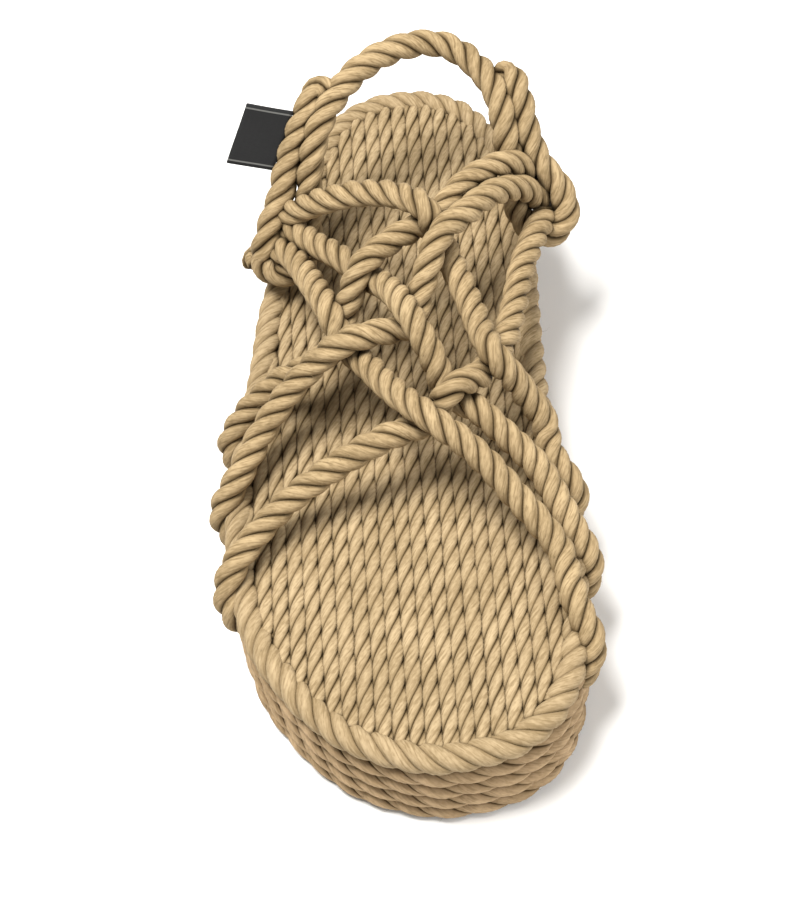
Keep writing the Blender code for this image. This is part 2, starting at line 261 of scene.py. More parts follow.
INNER_LEG = (
    (0.73, 0.818, 0.96),
    (0.82, 0.816, 0.97),
    (0.86, 0.788, 0.92),
    (0.88, 0.765, 0.80),
    (0.91, 0.750, 0.68),
    (0.96, 0.734, 0.57),
    (1.03, 0.724, 0.48),
    (1.08, 0.709, 0.37),
    (1.07, 0.695, 0.29),
    (1.00, 0.684, 0.23),
    (0.89, 0.687, 0.23),
)

# Laid rope: three oval strands. Each shape is the strand's distance from the rope's middle, its depth and its
# width, in shares of the rope's radius.
STRANDS = 3
LOOSE_STRAND = (0.515, 0.485, 0.505)
RIM_STRAND = (0.49, 0.51, 0.56)
PRESSED_STRAND = (0.47, 0.53, 0.61)

# Share by which a strand swells and thins along the rope, and the swells to each turn of its lay
SWELL = 0.045
SWELL_RATE = 0.37

# How finely each kind of rope is modelled: steps along one lay, then sides round one strand
STRAP_MESH = (22, 16)
COURSE_MESH = (22, 14)
RUN_MESH = (18, 12)

# Points of the sole's outline, steps between two given points of a curve, the outline's points to each side
# that show its direction, and the steepness from which a rope's directions start level
OUTLINE_POINTS = 480
CURVE_STEPS = 16
OUTLINE_REACH = 4
STEEP = 0.8

# Length of rope in which a strand goes once round
STRAP_LAYS = {
    "outer_front": 0.0222,
    "outer_middle": 0.0228,
    "outer_rear": 0.0215,
    "inner_front": 0.0200,
    "inner_middle": 0.0180,
    "inner_rear": 0.0200,
}
HEEL_LAY = 0.0238
RIM_LAY = 0.0228
COURSE_LAY = 0.030
BALL_RUN_LAY = 0.0245
HEEL_RUN_LAY = 0.0295

# Shares of the sole length between which the lay of the footbed runs grows
LAY_GROWTH = (0.30, 0.85)

# Angle, in radians, by which each course's strands start ahead of those of the course below it
COURSE_TURN = 2.3

# Length over which a strap's ends round off, in rope diameters, and the share of it at which they are cut
END_TAPER = 0.4
END_CUT = 0.02

# Lift of the lowest course and the underside, and the height under which fibres are left out
UNDERSIDE_LIFT = 0.0004
FLOOR_GAP = 0.0001

# Loose fibres that lift off the strands: their size, the least and most share of their length, the least and
# most bend, how far they turn aside, their mesh, and how many there are on each strand of a rope
FIBRE_LENGTH = 0.0045
FIBRE_R = 0.00004
FIBRE_SHARES = (0.5, 1.2)
FIBRE_BENDS = (0.15, 0.55)
FIBRE_ASIDE = 0.6
FIBRE_POINTS = 5
FIBRE_SIDES = 3
STRAP_FIBRES = 60
COURSE_FIBRES = 50
RUN_FIBRES = 5

# Rope runs of the footbed and the underside: their size, their sideways wave with its rate and its shift from
# run to run, the shift of the lay from run to run with its unevenness, and the points from the toe's end to a
# run's start along which its first angle is found
RUN_WIDTH = 0.0062
RUN_HEIGHT = 0.0056
RUN_WOBBLE = 0.00012
RUN_WAVE = 70
RUN_WAVE_SHIFT = 1.7
RUN_SHIFT = 0.12
RUN_SHIFT_SPREAD = 0.4
RUN_START_POINTS = 60

# Share of the ball width that the runs reach to each side, and how far they and the filling stay inside the
# sole's outline, in shares of a course's width. The filling follows every fourth point of the outline.
RUN_REACH = 0.6
FOOTBED_INSET = 0.75
UNDERSIDE_INSET = 0.8
FILLING_INSET = 0.8
FILLING_STRIDE = 4

# Seeds of the random draws. A course's seed is its number, and a strap's is also its strands' first angle.
FOOTBED_SEED = 11
UNDERSIDE_SEED = 12
FIRST_VAMP_SEED = 21
HEEL_SEED = 31

# Colours of each rope: its pale tone, its body, a dark tone for darker fibres and for the shade painted
# down from its crowns, and the shade painted in its creases and in the gaps between ropes
FOOTBED_COLOURS = (
    (0.430, 0.325, 0.194),
    (0.333, 0.248, 0.142),
    (0.198, 0.138, 0.069),
    (0.042, 0.025, 0.008),
)
# Paler than the footbed's, as painted light on the sides of the lower courses, which the lamps light less
SIDE_COLOURS_PAINTED_LIGHTER = (
    (0.47, 0.334, 0.198),
    (0.38, 0.266, 0.151),
    (0.235, 0.160, 0.084),
    (0.050, 0.029, 0.011),
)
# A little darker than the footbed's, as painted shade on the straps
STRAP_COLOURS_PAINTED_DARKER = (
    (0.415, 0.307, 0.173),
    (0.310, 0.226, 0.123),
    (0.168, 0.114, 0.054),
    (0.035, 0.021, 0.007),
)
# Two near-black tones mixed by matted fibre: painted shade for the depth between the ropes
PACKED_SHADE_COLOURS = ((0.06, 0.035, 0.014), (0.14, 0.085, 0.036))
TAG_COLOURS = ((0.003, 0.003, 0.003), (0.016, 0.016, 0.017))
TAG_STRIPE_COLOUR = (0.10, 0.10, 0.095)
FLOOR_COLOUR = (0.84, 0.84, 0.84)
FLOOR_ROUGHNESS = 0.7
FLOOR_HALF = 4

# How far up from the crease its painted shade fades out, where 1 is a strand's crown, and the width of
# the gaps between ropes in which shade is painted
CREASE_SHADE_FADE = 0.42
STRAP_CREASE_SHADE_FADE = 0.70
SHADED_GAP_WIDTH = 0.003

# Streaks on the strands: stretch along the strand, lean in degrees, waves a metre across it, and detail
FIBRE_STREAKS = (9.0, 8, 1500, 4.0)
FLECK_STREAKS = (2.2, 14, 1150, 3.0)
BUNDLE_STREAKS = (7.0, 8, 520, 2.0)

# Waves a metre of the other patterns
PATCH_SCALE = 60
MATTED_SCALE = 900
THREAD_SCALE = 900
WEAVE_SCALE = 700

# Numbers of the colour sockets of a mix node
MIX_INPUTS = (6, 7)
MIX_OUTPUT = 2

# Camera: the photograph's angle, 55 degrees down and 6.5 degrees to the shoe's inner side
CAMERA_SPOT = Vector((0.0152, -0.4395, 0.6361))
CAMERA_AIM = Vector((0, 0, 0.0287))
CAMERA_HEADING = math.radians(6.5)
CAMERA_DIP = math.radians(55)
CAMERA_LENS = 94
SENSOR_WIDTH = 36

# Each light's place, its width across, its watts and its colour, then what the lights point at
KEY_LIGHT = ((-0.30, 0.0, 1.30), 0.6, 35, (1.0, 0.99, 0.96))
FILL_LIGHT = ((0.80, -0.60, 0.75), 1.0, 10, (1.0, 0.99, 0.97))
LIGHT_AIM = Vector((0, 0, 0.02))
SKY_COLOUR = (1.0, 0.99, 0.96)
SKY_STRENGTH = 0.30


def along_y(share):
    return (share - TOE_SHARE) * SOLE_LENGTH


def across_x(share):
    return share * BALL_WIDTH / 2


def unit(vectors):
    return vectors / np.linalg.norm(vectors, axis=-1, keepdims=True)


def dense_curve(points, closed=False):
    """Close-set points on a smooth curve through the given ones."""
    points = np.asarray(points, float)
    if closed:
        ring = np.vstack([points[-1:], points, points[:2]])
    else:
        ring = np.vstack([2 * points[0] - points[1], points, 2 * points[-1] - points[-2]])
    t = np.linspace(0, 1, CURVE_STEPS, endpoint=False)[:, None]
    spans = []
    for a, b, c, d in zip(ring, ring[1:], ring[2:], ring[3:]):
        spot = 2 * b + (c - a) * t + (2 * a - 5 * b + 4 * c - d) * t ** 2 + (3 * b - a - 3 * c + d) * t ** 3
        spans.append(spot / 2)
    return np.vstack([*spans, ring[-2:-1]])


def distances(path):
    return np.concatenate([[0], np.cumsum(np.linalg.norm(np.diff(path, axis=0), axis=1))])


def even_points(path, count):
    """That many points spaced evenly along a path, both ends included."""
    reached = distances(path)
    goals = np.linspace(0, reached[-1], count)
    return np.stack([np.interp(goals, reached, path[:, k]) for k in range(3)], axis=1)


def sole_outline():
    """Outer edge of the rim, counter-clockwise from the toe, at z = 0."""
    toe = (across_x(TOE_TIP[1]), along_y(TOE_TIP[0]), 0)
    heel = (across_x(HEEL_TIP[1]), along_y(HEEL_TIP[0]), 0)
    inner = [(across_x(inside), along_y(share), 0) for share, inside, _ in SOLE_EDGES]
    outer = [(across_x(outside), along_y(share), 0) for share, _, outside in SOLE_EDGES]
    curve = dense_curve([toe, *inner, heel, *reversed(outer)], closed=True)
    return even_points(curve, OUTLINE_POINTS + 1)[:-1]


OUTLINE = sole_outline()


def outline_inset(depth, height=0.0):
    """The outline moved inward by a depth and set at a height, closed by its first point."""
    run = np.roll(OUTLINE, -OUTLINE_REACH, axis=0) - np.roll(OUTLINE, OUTLINE_REACH, axis=0)
    inward = unit(np.stack([-run[:, 1], run[:, 0], run[:, 2]], axis=1))
    moved = OUTLINE + inward * depth
    moved[:, 2] = height
    return np.vstack([moved, moved[:1]])


def edge_x(y, side):
    """X of the sole's edge at a place along it, on the inner (+1) or outer (-1) side."""
    return side * max(side * x for x in outline_crossings(OUTLINE[:, 1], OUTLINE[:, 0], y))


def outline_crossings(walk, reach, goal):
    """Values of one coordinate of a closed outline where its other coordinate passes a goal."""
    found = []
    for i in range(len(walk)):
        before = walk[i - 1] - goal
        after = walk[i] - goal
        if before * after < 0:
            found.append(reach[i - 1] + (reach[i] - reach[i - 1]) * before / (before - after))
    return sorted(found)


def directions_along(path):
    """Unit vectors along a path, and two sets across it that don't twist about it."""
    ahead = unit(np.gradient(path, axis=0))
    guide = np.array((0.0, 0.0, 1.0) if abs(ahead[0][2]) < STEEP else (0.0, 1.0, 0.0))
    across = []
    for direction in ahead:
        guide = unit(guide - direction * guide.dot(direction))
        across.append(guide)
    across = np.array(across)
    return ahead, across, np.cross(ahead, across)


def directions_round(ring):
    """Unit vectors along a level closed path, outward from it and square to both."""
    loop = ring[:-1]
    run = unit(np.roll(loop, -1, axis=0) - np.roll(loop, 1, axis=0))
    run = np.vstack([run, run[:1]])
    outward = np.stack([run[:, 1], -run[:, 0], run[:, 2]], axis=1)
    return run, outward, np.cross(run, outward)


class RopeWork:
    """Strands gathered from any number of ropes, to become one piece."""

    def __init__(self, seed):
        self.random = np.random.default_rng(seed)
        self.points = []
        self.faces = []
        self.corners = []
        self.depths = []
        self.tones = []
        self.count = 0

    def add_grid(self, points, along, around, depth, tone, closed):
        """Skin a (steps, sides) grid of points, closed on itself or capped at both ends."""
        steps, sides = points.shape[:2]
        index = self.count + np.arange(steps * sides).reshape(steps, sides)
        following = np.roll(index, -1, axis=1)
        start = index[:-1]
        quads = np.stack([start, following[:-1], following[1:], index[1:]], axis=-1).reshape(-1, 4)
        u = np.broadcast_to(along[:, None], (steps, sides + 1))
        v = np.broadcast_to(around[None, :], (steps, sides + 1))
        grid = np.stack([u, v], axis=-1)
        corners = np.stack([grid[:-1, :-1], grid[:-1, 1:], grid[1:, 1:], grid[1:, :-1]], axis=2)
        if closed:
            quads = np.where(quads >= index[-1, 0], quads - index[-1, 0] + index[0, 0], quads)
            points = points[:-1]
            depth = depth[:-1]
        self.faces.extend(quads.tolist())
        self.corners.append(corners.reshape(-1, 2))
        if not closed:
            self.faces.append(index[0][::-1].tolist())
            self.faces.append(index[-1].tolist())
            self.corners.append(np.zeros((2 * sides, 2)))
        self.points.append(points.reshape(-1, 3))
        self.depths.append(depth.reshape(-1))
        self.tones.append(np.full(depth.size, tone))
        self.count += depth.size

    def add_rope(self, path, directions, width, height, turn, shape, sides, closed=False, ends=0.0, fibres=0):
        """Lay right-handed strands round a path of even points, by the angle turned at each.

        The width goes with the second of the three directions and the height with the third.
        """
        ahead, outward, square = directions
        orbit, deep, wide = shape
        radius = (width + height) / 4
        reached = distances(path)
        slope = orbit * radius * (turn[-1] - turn[0]) / reached[-1]
        lean = math.atan(slope)
        taper = end_taper(reached, ends)[:, None]
        theta = np.linspace(0, 2 * math.pi, sides, endpoint=False)[None, :]
        round_it = np.linspace(0, 2 * math.pi, sides + 1) * radius * deep
        crease = crease_radius(shape)
        for k in range(STRANDS):
            angle = (turn + 2 * math.pi * k / STRANDS)[:, None]
            swell = 1 + SWELL * np.sin(angle * SWELL_RATE + self.random.uniform(0, 6))
            out = (orbit + deep * swell * np.cos(theta - math.pi)) * taper
            aside = wide * swell * np.sin(theta - math.pi) * taper
            a = out * np.cos(angle) - aside * math.cos(lean) * np.sin(angle)
            b = out * np.sin(angle) + aside * math.cos(lean) * np.cos(angle)
            c = -aside * math.sin(lean)
            points = path[:, None] + outward[:, None] * (a * width / 2)[..., None]
            points = points + square[:, None] * (b * height / 2)[..., None]
            points = points + ahead[:, None] * (c * radius)[..., None]
            # 0 at a crease and 1 on a crown; the rope's material paints shade into the creases by it
            depth = (np.hypot(a, b) / taper - crease) / (1 - crease)
            tone = self.random.uniform(0, 1)
            self.add_grid(points, reached * math.hypot(1, slope), round_it, depth, tone, closed)
            self.add_fibres(points, path, fibres)

    def add_fibres(self, strand, path, count):
        """Short loose fibres, rooted on a strand's crown and lying back along it."""
        steps, sides = strand.shape[:2]
        t = np.linspace(0, 1, FIBRE_POINTS)[:, None]
        round_it = np.linspace(0, 2 * math.pi, FIBRE_SIDES + 1)
        sine = np.sin(round_it[:-1])[:, None]
        cosine = np.cos(round_it[:-1])[:, None]
        depth = np.ones((FIBRE_POINTS, FIBRE_SIDES))
        for _ in range(count):
            i = self.random.integers(2, steps - 2)
            j = self.random.integers(sides // 4, sides - sides // 4)
            root = strand[i, j]
            lift = unit(root - path[i])
            lie = unit(strand[i + 1, j] - root) * self.random.choice((-1, 1))
            across = np.cross(lie, lift)
            aside = across * self.random.uniform(-FIBRE_ASIDE, FIBRE_ASIDE)
            length = FIBRE_LENGTH * self.random.uniform(*FIBRE_SHARES)
            bend = self.random.uniform(*FIBRE_BENDS)
            middle = root + length * (lie * t * 0.8 + lift * bend * t * (1.3 - t) + aside * t * t)
            tube = middle[:, None] + (lift * cosine + across * sine) * FIBRE_R * (1.1 - t)[:, None]
            if tube[..., 2].min() < FLOOR_GAP:
                continue
            self.add_grid(tube, t[:, 0] * length, round_it * FIBRE_R, depth, 0.0, False)

    def piece(self, name, surface, slot, *nodes):
        """The gathered strands as one object that stands for the named solids."""
        mesh = bpy.data.meshes.new(name)
        mesh.from_pydata(np.vstack(self.points), [], self.faces)
        layer = mesh.uv_layers.new(name="strand")
        layer.data.foreach_set("uv", np.vstack(self.corners).ravel())
        for label, values in (("depth", self.depths), ("tone", self.tones)):
            made = mesh.attributes.new(label, "FLOAT", "POINT")
            made.data.foreach_set("value", np.concatenate(values))
        mesh.shade_smooth()
        mesh.materials.append(surface)
        return dress(name, mesh, slot, *nodes)


def dress(name, mesh, slot, *nodes):
    """Put a mesh in the scene as a piece that rides with the sandal."""
    thing = bpy.data.objects.new(name, mesh)
    bpy.context.scene.collection.objects.link(thing)
    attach(thing, "root")
    if nodes:
        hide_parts(*nodes)
    return thing


def crease_radius(shape):
    """Share of a rope's radius at which two neighbouring strands meet."""
    orbit, deep, wide = shape
    half_gap = math.pi / STRANDS
    a = (math.cos(half_gap) / deep) ** 2 + (math.sin(half_gap) / wide) ** 2
    b = -2 * math.cos(half_gap) * orbit / deep ** 2
    c = (orbit / deep) ** 2 - 1
    return (math.sqrt(b * b - 4 * a * c) - b) / (2 * a)


def end_taper(reached, length):
    """Share of full thickness along a rope whose two ends round off over a length."""
    if length <= 0:
        return np.ones_like(reached)
    near = np.minimum(reached, reached[-1] - reached) / length
    near = np.clip(near, END_CUT, 1)
    return np.sqrt(1 - (1 - near) ** 2)


def course_piece(number, surface):
    """One rope course of the sole, a closed ring of squeezed rope."""
    is_rim = number == COURSE_COUNT
    height = RIM_TOP - RIM_BOTTOM if is_rim else COURSE_HEIGHT
    middle = (number - 1) * COURSE_STEP + height / 2
    if number == 1:
        middle += UNDERSIDE_LIFT
    ring = outline_inset(COURSE_INSETS[number - 1] * COURSE_WIDTH + COURSE_WIDTH / 2, middle)
    turns = round(distances(ring)[-1] / (RIM_LAY if is_rim else COURSE_LAY))
    steps_a_lay, sides = COURSE_MESH
    steps = turns * steps_a_lay
    path = even_points(ring, steps + 1)
    directions = directions_round(path)
    turn = np.linspace(0, 2 * math.pi * turns, steps + 1) + number * COURSE_TURN
    shape = RIM_STRAND if is_rim else PRESSED_STRAND
    work = RopeWork(number)
    work.add_rope(
        path, directions, COURSE_WIDTH, height, turn, shape, sides, closed=True, fibres=COURSE_FIBRES
    )
    return work.piece(f"rope_course_{number}", surface, "sole_rope", f"sole_course_{number}")


def run_turn(y):
    """Angle that a run's strands have turned at each place along it. The lay is longer at the heel."""
    growth = [along_y(share) for share in LAY_GROWTH]
    lay = np.interp(y, growth, (BALL_RUN_LAY, HEEL_RUN_LAY))
    turns = np.diff(y) / (lay[1:] + lay[:-1]) * 2
    return 2 * math.pi * np.concatenate([[0], np.cumsum(turns)])


def lengthwise_runs(name, inset, middle, seed, surface, slot, *nodes):
    """Rope runs side by side along the sole, ending inside the course round them."""
    edge = outline_inset(inset)[:-1]
    work = RopeWork(seed)
    steps_a_lay, sides = RUN_MESH
    half = math.ceil(BALL_WIDTH * RUN_REACH / RIB_PITCH)
    shift = 0.0
    for i in range(-half, half):
        x = (i + 0.5) * RIB_PITCH
        shift += RUN_SHIFT + work.random.uniform(-RUN_SHIFT_SPREAD, RUN_SHIFT_SPREAD)
        ends = outline_crossings(edge[:, 0], edge[:, 1], x)
        for first, last in zip(ends[::2], ends[1::2]):
            if last - first < BALL_RUN_LAY / 2:
                continue
            steps = math.ceil((last - first) / BALL_RUN_LAY * steps_a_lay)
            y = np.linspace(first, last, steps + 1)
            drift = np.sin(y * RUN_WAVE + i * RUN_WAVE_SHIFT) * RUN_WOBBLE
            path = np.stack([x + drift, y, np.full_like(y, middle)], axis=1)
            directions = directions_along(path)
            start = run_turn(np.linspace(along_y(0), first, RUN_START_POINTS))[-1]
            turn = start + run_turn(y) + shift
            work.add_rope(
                path, directions, RUN_HEIGHT, RUN_WIDTH, turn, PRESSED_STRAND, sides, fibres=RUN_FIBRES
            )
    return work.piece(name, surface, slot, *nodes)


def footbed_piece(surface):
    """The footbed's rope runs, inside the rim."""
    inset = COURSE_WIDTH * FOOTBED_INSET
    middle = FOOTBED_TOP - RUN_HEIGHT / 2
    return lengthwise_runs("footbed_runs", inset, middle, FOOTBED_SEED, surface, "sole_rope", "footbed")


def underside_piece(surface):
    """The underside's rope runs, inside the lowest course."""
    inset = COURSE_WIDTH * UNDERSIDE_INSET
    middle = UNDERSIDE_LIFT + RUN_HEIGHT / 2
    return lengthwise_runs("underside_runs", inset, middle, UNDERSIDE_SEED, surface, "core_rope")


def wrap(name, side):
    """Where a vamp rope turns over the rim and tucks into the side, from its buried end up."""
    onto, over, under = (along_y(share) for share in WRAPS[name])
    # Each stop: place along the sole, distance out from its edge, and height
    stops = (
        (under - STRAP_R * 0.3, -STRAP_R * 0.9, RIM_TOP - STRAP_D * 1.75),
        (under, -WRAP_BULGE, RIM_TOP - STRAP_D * 1.15),
        (over, WRAP_BULGE, RIM_TOP - STRAP_D * 0.35),
        (onto, -STRAP_R * 1.05, RIM_TOP + STRAP_R),
    )
    return [(edge_x(at, side) + side * out, at, height) for at, out, height in stops]


def vamp_points(name, rows, side):
    """Points of a vamp rope, from its end in the side of the sole on."""
    points = wrap(name, side)
    for across, share, rise, lift in rows:
        points.append((across_x(across), along_y(share), RIM_TOP + rise * STRAP_RISE + lift * STRAP_D))
    return points


def heel_points(rows):
    """Points of a stretch of the heel rope."""
    return [(across_x(across), along_y(share), RIM_TOP + rise * HEEL_RISE) for across, share, rise in rows]


def strap_piece(name, points, diameter, lay, seed, surface, node):
    """One round laid rope through the given points."""
    curve = dense_curve(points)
    length = distances(curve)[-1]
    steps_a_lay, sides = STRAP_MESH
    steps = math.ceil(length / lay * steps_a_lay)
    path = even_points(curve, steps + 1)
    directions = directions_along(path)
    turn = np.linspace(0, 2 * math.pi * length / lay, steps + 1) + seed
    ends = diameter * END_TAPER
    work = RopeWork(seed)
    work.add_rope(
        path, directions, diameter, diameter, turn, LOOSE_STRAND, sides, ends=ends, fibres=STRAP_FIBRES
    )
    return work.piece(name, surface, "strap_rope", node)


def vamp_pieces(surface):
    """The three ropes from the outer side, then the three from the inner side."""
    seed = FIRST_VAMP_SEED
    for side, ropes in ((-1, OUTER_ROPES), (1, INNER_ROPES)):
        for name, rows in ropes.items():
            points = vamp_points(name, rows, side)
            strap_piece(f"vamp_{name}", points, STRAP_D, STRAP_LAYS[name], seed, surface, "vamp_straps")
            seed += 1


def heel_piece(surface):
    """One rope down the outer leg, round the outer eye, over the heel, round the inner eye and up its leg."""
    points = heel_points(OUTER_LEG + HEEL_RUN[1:] + INNER_LEG[-2::-1])
    return strap_piece("heel_rope", points, HEEL_ROPE_D, HEEL_LAY, HEEL_SEED, surface, "heel_strap")


def new_surface(name):
    """A new material with its node tree and its shader."""
    made = bpy.data.materials.new(name)
    made.use_nodes = True
    return made, made.node_tree, made.node_tree.nodes["Principled BSDF"]


def shader_node(tree, kind, **settings):
    """A shader node with its settings filled in by name."""
    made = tree.nodes.new(kind)
    for key, value in settings.items():
        setattr(made, key, value)
    return made


def colour_mix(tree, factor, first, second):
    """Output that goes from one colour or colour output to another by a factor output."""
    made = shader_node(tree, "ShaderNodeMix", data_type="RGBA")
    tree.links.new(factor, made.inputs["Factor"])
    for number, colour in zip(MIX_INPUTS, (first, second)):
        if isinstance(colour, tuple):
            made.inputs[number].default_value = (*colour, 1.0)
        else:
            tree.links.new(colour, made.inputs[number])
    return made.outputs[MIX_OUTPUT]


def remapped(tree, value, low, high, new_low=0.0, new_high=1.0):
    """Output that carries a range of values onto a new range, held at its ends."""
    made = tree.nodes.new("ShaderNodeMapRange")
    made.inputs["From Min"].default_value = low
    made.inputs["From Max"].default_value = high
    made.inputs["To Min"].default_value = new_low
    made.inputs["To Max"].default_value = new_high
    tree.links.new(value, made.inputs["Value"])
    return made.outputs["Result"]


def noise(tree, vector, scale, detail=3.0):
    made = tree.nodes.new("ShaderNodeTexNoise")
    made.inputs["Scale"].default_value = scale
    made.inputs["Detail"].default_value = detail
    tree.links.new(vector, made.inputs["Vector"])
    return made.outputs["Fac"]


def streaks(tree, stretch, lean, scale, detail):
    """Noise that is stretched along each strand and leans a little round it."""
    uv = shader_node(tree, "ShaderNodeUVMap", uv_map="strand")
    mapping = tree.nodes.new("ShaderNodeMapping")
    mapping.inputs["Rotation"].default_value = (0, 0, math.radians(lean))
    mapping.inputs["Scale"].default_value = (1 / stretch, 1.0, 1.0)
    tree.links.new(uv.outputs["UV"], mapping.inputs["Vector"])
    return noise(tree, mapping.outputs["Vector"], scale, detail)


def add_bump(tree, shader, height, strength, distance):
    """Let a height output raise and lower the surface."""
    bump = tree.nodes.new("ShaderNodeBump")
    bump.inputs["Strength"].default_value = strength
    bump.inputs["Distance"].default_value = distance
    tree.links.new(height, bump.inputs["Height"])
    tree.links.new(bump.outputs["Normal"], shader.inputs["Normal"])


def rope_surface(name, colours, crease_shade_fade=CREASE_SHADE_FADE):
    """Soft twisted fibre: pale crowns, painted shade in the creases and gaps, streaked along each strand."""
    pale, body, dark_fibre_and_shade, painted_crease_shade = colours
    made, tree, shader = new_surface(name)
    place = tree.nodes.new("ShaderNodeTexCoord").outputs["Object"]
    depth = shader_node(tree, "ShaderNodeAttribute", attribute_name="depth").outputs["Fac"]
    tone = shader_node(tree, "ShaderNodeAttribute", attribute_name="tone").outputs["Fac"]
    # Occlusion within a gap's width, by which shade is painted into the gaps between ropes
    gap_occlusion = shader_node(tree, "ShaderNodeAmbientOcclusion", samples=6)
    gap_occlusion.inputs["Distance"].default_value = SHADED_GAP_WIDTH
    fibres = streaks(tree, *FIBRE_STREAKS)
    flecks = streaks(tree, *FLECK_STREAKS)
    bundles = streaks(tree, *BUNDLE_STREAKS)
    patches = noise(tree, place, PATCH_SCALE)

    # Each layer: what it follows, from where to where, how much it covers at those two ends, and its colour
    layers = (
        (patches, 0.35, 0.65, 0, 1, pale),
        (tone, 0, 1, 0, 0.25, dark_fibre_and_shade),
        (bundles, 0.45, 0.70, 0, 0.40, dark_fibre_and_shade),
        (fibres, 0.36, 0.52, 0.75, 0, dark_fibre_and_shade),
        (flecks, 0.34, 0.50, 0.50, 0, dark_fibre_and_shade),
        (flecks, 0.52, 0.68, 0, 0.45, pale),
        # Painted shade: darker toward the creases, darkest in them and in the gaps between ropes
        (depth, 0.25, 0.90, 0.90, 0, dark_fibre_and_shade),
        (depth, 0.08, crease_shade_fade, 1, 0, painted_crease_shade),
        (gap_occlusion.outputs["AO"], 0.30, 0.75, 0.85, 0, painted_crease_shade),
    )
    for source, low, high, cover_at_low, cover_at_high, colour in layers:
        cover = remapped(tree, source, low, high, cover_at_low, cover_at_high)
        body = colour_mix(tree, cover, body, colour)
    tree.links.new(body, shader.inputs["Base Color"])
    tree.links.new(remapped(tree, fibres, 0.3, 0.7, 0.70, 0.88), shader.inputs["Roughness"])
    shader.inputs["Specular IOR Level"].default_value = 0.12
    blend = remapped(tree, bundles, 0.3, 0.7, 0.35, 0.65)
    add_bump(tree, shader, colour_mix(tree, blend, fibres, flecks), 0.75, 0.0003)
    return made


def edge_stripe(tree, uv):
    """Output that is 1 on a narrow woven stripe beside each long edge of the tag."""
    parts = tree.nodes.new("ShaderNodeSeparateXYZ")
    tree.links.new(uv, parts.inputs["Vector"])
    inward = shader_node(tree, "ShaderNodeMath", operation="PINGPONG")
    inward.inputs[1].default_value = TAG_LENGTH / 2
    tree.links.new(parts.outputs["Y"], inward.inputs[0])
    stripe = shader_node(tree, "ShaderNodeMath", operation="COMPARE")
    stripe.inputs[1].default_value = TAG_STRIPE_INSET
    stripe.inputs[2].default_value = TAG_STRIPE_WIDTH / 2
    tree.links.new(inward.outputs["Value"], stripe.inputs[0])
    return stripe.outputs["Value"]


def tag_surface():
    """Black woven ribbon: fine crossed threads with hardly any sheen."""
    made, tree, shader = new_surface("woven_tag_cloth")
    uv = tree.nodes.new("ShaderNodeUVMap").outputs["UV"]
    threads = []
    for direction in ("X", "Y"):
        wave = shader_node(tree, "ShaderNodeTexWave", bands_direction=direction)
        wave.inputs["Scale"].default_value = THREAD_SCALE
        wave.inputs["Distortion"].default_value = 0.6
        tree.links.new(uv, wave.inputs["Vector"])
        threads.append(wave.outputs["Fac"])
    blend = remapped(tree, noise(tree, uv, WEAVE_SCALE), 0.3, 0.7, 0.35, 0.65)
    weave = colour_mix(tree, blend, *threads)
    colour = colour_mix(tree, remapped(tree, weave, 0, 1), *TAG_COLOURS)
    colour = colour_mix(tree, edge_stripe(tree, uv), colour, TAG_STRIPE_COLOUR)
    tree.links.new(colour, shader.inputs["Base Color"])
    tree.links.new(remapped(tree, weave, 0, 1, 0.9, 0.7), shader.inputs["Roughness"])
    shader.inputs["Sheen Weight"].default_value = 0.05
    shader.inputs["Specular IOR Level"].default_value = 0.2
    add_bump(tree, shader, weave, 0.5, 0.0001)
    return made


def packed_shade_surface():
    """Matted fibre painted near-black, as the shade in the depth between the ropes."""
    made, tree, shader = new_surface("packed_rope_shade")
    place = tree.nodes.new("ShaderNodeTexCoord").outputs["Object"]
    matted = noise(tree, place, MATTED_SCALE, 4.0)
    body = colour_mix(tree, remapped(tree, matted, 0.35, 0.65), *PACKED_SHADE_COLOURS)
    tree.links.new(body, shader.inputs["Base Color"])
    tree.links.new(remapped(tree, matted, 0.3, 0.7, 0.98, 0.85), shader.inputs["Roughness"])
    add_bump(tree, shader, matted, 0.8, 0.0003)
    return made


def floor_surface():
    """Even pale grey."""
    made, _, shader = new_surface("floor")
    shader.inputs["Base Color"].default_value = (*FLOOR_COLOUR, 1.0)
    shader.inputs["Roughness"].default_value = FLOOR_ROUGHNESS
    return made


def filling_piece(surface):
    """Packed rope inside the sole, seen only between the ropes, painted dark as the shade in that depth."""
    outline = outline_inset(COURSE_WIDTH * FILLING_INSET)[:-1:FILLING_STRIDE]
    low = [(x, y, RUN_HEIGHT / 2) for x, y, _ in outline]
    high = [(x, y, FOOTBED_TOP - RUN_HEIGHT / 2) for x, y, _ in outline]
    total = len(outline)
    faces = [list(range(total))[::-1], list(range(total, 2 * total))]
    for i in range(total):
        j = (i + 1) % total
        faces.append([i, j, total + j, total + i])
    mesh = bpy.data.meshes.new("sole_filling")
    mesh.from_pydata(low + high, [], faces)
    mesh.materials.append(surface)
    return dress("sole_filling", mesh, "core_rope", "sole_core")


def tag_frame():
    """Where the tag is sewn on, the direction it stands out in, the leg's direction and the cloth's face."""
    leg = even_points(dense_curve(heel_points(OUTER_LEG)), TAG_LEG_STEPS + 1)
    place = round(TAG_PLACE * TAG_LEG_STEPS)
    run = unit(leg[place + 2] - leg[place - 2])
    outward = np.array(TAG_OUTWARD)
    outward = unit(outward - run * outward.dot(run) * TAG_SQUARING)
    return leg[place], outward, run, unit(np.cross(run, outward))


